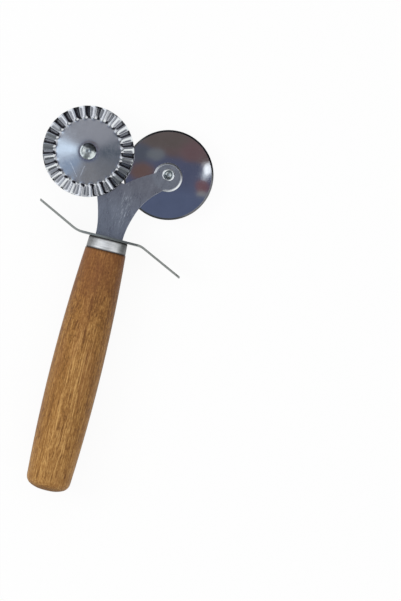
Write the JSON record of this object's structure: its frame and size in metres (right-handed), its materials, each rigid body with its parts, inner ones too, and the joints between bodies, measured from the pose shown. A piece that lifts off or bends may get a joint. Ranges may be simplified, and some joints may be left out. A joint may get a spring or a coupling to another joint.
{
  "type": "pizza and pastry cutter",
  "caption": "Hand cutter with a turned wood handle, a bent steel guard and a forked plate that carries a fluted pastry wheel and a plain cutting wheel, each free to spin.",
  "frame": {"origin": "middle of the small flat on the handle's butt end", "axes": "+Y along the handle towards the wheels, +Z along both wheel axes with the fluted wheel on the upper side, +X to the right, towards the plain wheel"},
  "size_m": [0.0853, 0.1884, 0.025],
  "materials": {
    "handle_wood": "oiled, with long dark and light grain streaks",
    "ferrule_steel": "bright drawn steel, brushed round",
    "guard_steel": "satin strip",
    "yoke_steel": "satin plate with light lengthwise scratches",
    "fluted_steel": "bright pressed sheet, spun finish on the disc",
    "mirror_steel": "polished to a mirror, with a ground edge",
    "rivet_steel": "bright zinc plated"
  },
  "bodies": {
    "grip": {"handle": "handle_wood", "ferrule": "ferrule_steel", "guard": "guard_steel", "yoke": "yoke_steel", "fluted_wheel_rivet": "rivet_steel", "fluted_wheel_spacer": "rivet_steel", "plain_wheel_rivet": "rivet_steel", "plain_wheel_spacer": "rivet_steel"},
    "fluted_wheel": {"fluted_wheel": "fluted_steel"},
    "plain_wheel": {"plain_wheel": "mirror_steel"}
  },
  "joints": [
    {"name": "fluted_wheel_spin", "type": "hinge", "parent": "grip", "child": "fluted_wheel", "pos_m": [-0.02, 0.166, 0.00313], "axis": [0, 0, 1], "continuous": true},
    {"name": "plain_wheel_spin", "type": "hinge", "parent": "grip", "child": "plain_wheel", "pos_m": [0.0208, 0.1644, -0.00195], "axis": [0, 0, 1], "continuous": true}
  ]
}
